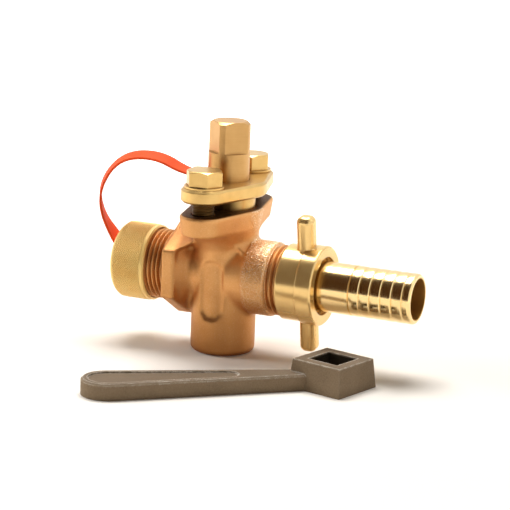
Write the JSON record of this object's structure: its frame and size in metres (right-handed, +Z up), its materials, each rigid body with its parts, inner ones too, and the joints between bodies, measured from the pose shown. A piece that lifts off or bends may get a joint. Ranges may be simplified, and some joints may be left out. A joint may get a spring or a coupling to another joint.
{
  "type": "gland cock",
  "caption": "Bronze plug cock with a bolted, packed gland, a capped threaded inlet on a strap, a lugged union with a hose tail, and a loose lever key for its square head.",
  "frame": {"origin": "middle of the barrel's base, on the surface that the cock stands on", "axes": "+X along the pipe to the hose tail, +Y away from the front gland bolt, +Z up along the plug"},
  "size_m": [0.1311, 0.1139, 0.0877],
  "materials": {
    "cast_bronze": "satin, as cast",
    "machined_bronze": "fine turned",
    "bright_brass": "bright",
    "polished_brass": "polished",
    "knurled_brass": "fine knurl, matt",
    "fibre": "matt",
    "packing": "braided, greased",
    "strap_plastic": "smooth, flexible",
    "cast_iron": "as cast"
  },
  "bodies": {
    "cock": {"cock_body": "cast_bronze", "gland": "bright_brass", "packing_ring_1": "packing", "packing_ring_2": "packing", "packing_ring_3": "packing", "front_gland_bolt": "bright_brass", "rear_gland_bolt": "bright_brass", "front_bolt_washer": "bright_brass", "rear_bolt_washer": "bright_brass", "strap_screw": "polished_brass", "cap_strap": "strap_plastic", "lever_key": "cast_iron"},
    "plug": {"taper_plug": "machined_bronze"},
    "tail": {"hose_tail": "polished_brass", "union_washer": "fibre"},
    "nut": {"union_nut": "polished_brass"},
    "rivet": {"cap_rivet": "polished_brass"},
    "cap": {"blank_cap": "knurled_brass", "cap_washer": "fibre"}
  },
  "joints": [
    {"name": "plug_turn", "type": "hinge", "parent": "cock", "child": "plug", "pos_m": [0, 0, 0.03], "axis": [0, 0, 1], "continuous": true},
    {"name": "tail_draw", "type": "slide", "parent": "cock", "child": "tail", "axis": [1, 0, 0], "range_m": [0, 0.00817]},
    {"name": "nut_turn", "type": "hinge", "parent": "tail", "child": "nut", "pos_m": [0.0324, 0, 0.03], "axis": [1, 0, 0], "range_deg": [0, 1620]},
    {"name": "cap_draw", "type": "slide", "parent": "cock", "child": "rivet", "axis": [-1, 0, 0], "range_m": [0, 0.00908], "deforming": ["cap_strap"]},
    {"name": "cap_turn", "type": "hinge", "parent": "rivet", "child": "cap", "pos_m": [-0.035, 0, 0.03], "axis": [-1, 0, 0], "range_deg": [0, 1800]}
  ],
  "couplings": [
    {"joint": "tail_draw", "follows": "nut_turn", "m_per_rad": 0.00028871},
    {"joint": "cap_draw", "follows": "cap_turn", "m_per_rad": 0.00028871}
  ]
}
